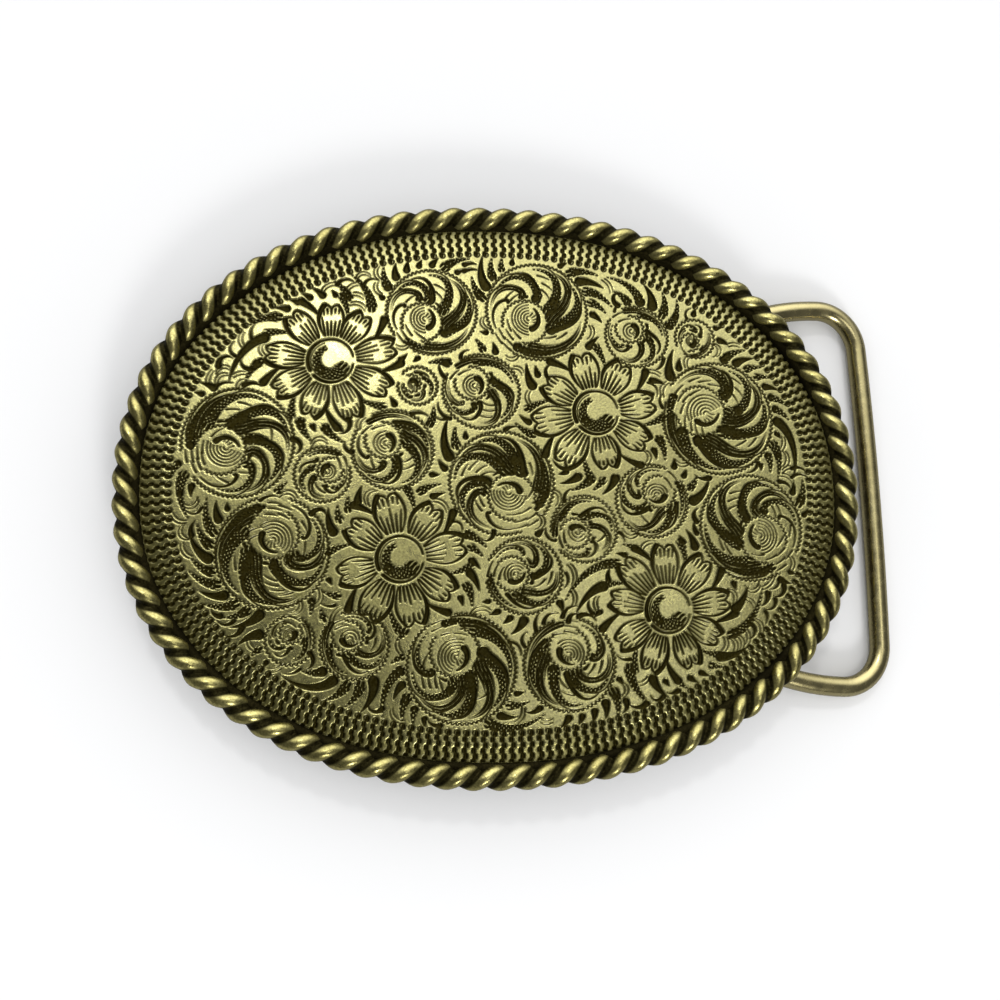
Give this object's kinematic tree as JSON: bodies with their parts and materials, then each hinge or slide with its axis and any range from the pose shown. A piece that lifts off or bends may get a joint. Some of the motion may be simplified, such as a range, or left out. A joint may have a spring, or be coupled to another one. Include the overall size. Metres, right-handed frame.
{
  "type": "belt buckle",
  "caption": "Oval western dress belt buckle: domed engraved brass face in a twisted rope edge, with a hinged wire belt loop and a fixed belt peg on the back.",
  "frame": {"origin": "centre of the oval on the back face of the base plate", "axes": "+Z out of the engraved face, +X along the belt towards the belt loop, +Y towards the buckle's upper edge; the buckle lies on its back"},
  "size_m": [0.0956, 0.071, 0.0104],
  "materials": {
    "engraved_brass": "antiqued brass, brushed high spots over near-black patina in the engraving",
    "rope_brass": "antiqued brass, polished crests over black grooves",
    "back_brass": "antiqued brass, tumbled satin",
    "wire_brass": "satin brass wire",
    "rivet_brass": "hammered satin brass"
  },
  "bodies": {
    "buckle": {"face_plate": "engraved_brass", "rope_edge": "rope_brass", "base_plate": "back_brass", "hinge_saddle": "back_brass", "hinge_rivets": "rivet_brass", "peg_pad": "back_brass", "peg_rivets": "rivet_brass", "belt_peg": "wire_brass"},
    "loop": {"belt_loop": "wire_brass"}
  },
  "joints": [
    {"name": "loop_hinge", "type": "hinge", "parent": "buckle", "child": "loop", "pos_m": [0.03, 0, -0.00131], "axis": [0, 1, 0], "range_deg": [-9, 168]}
  ]
}
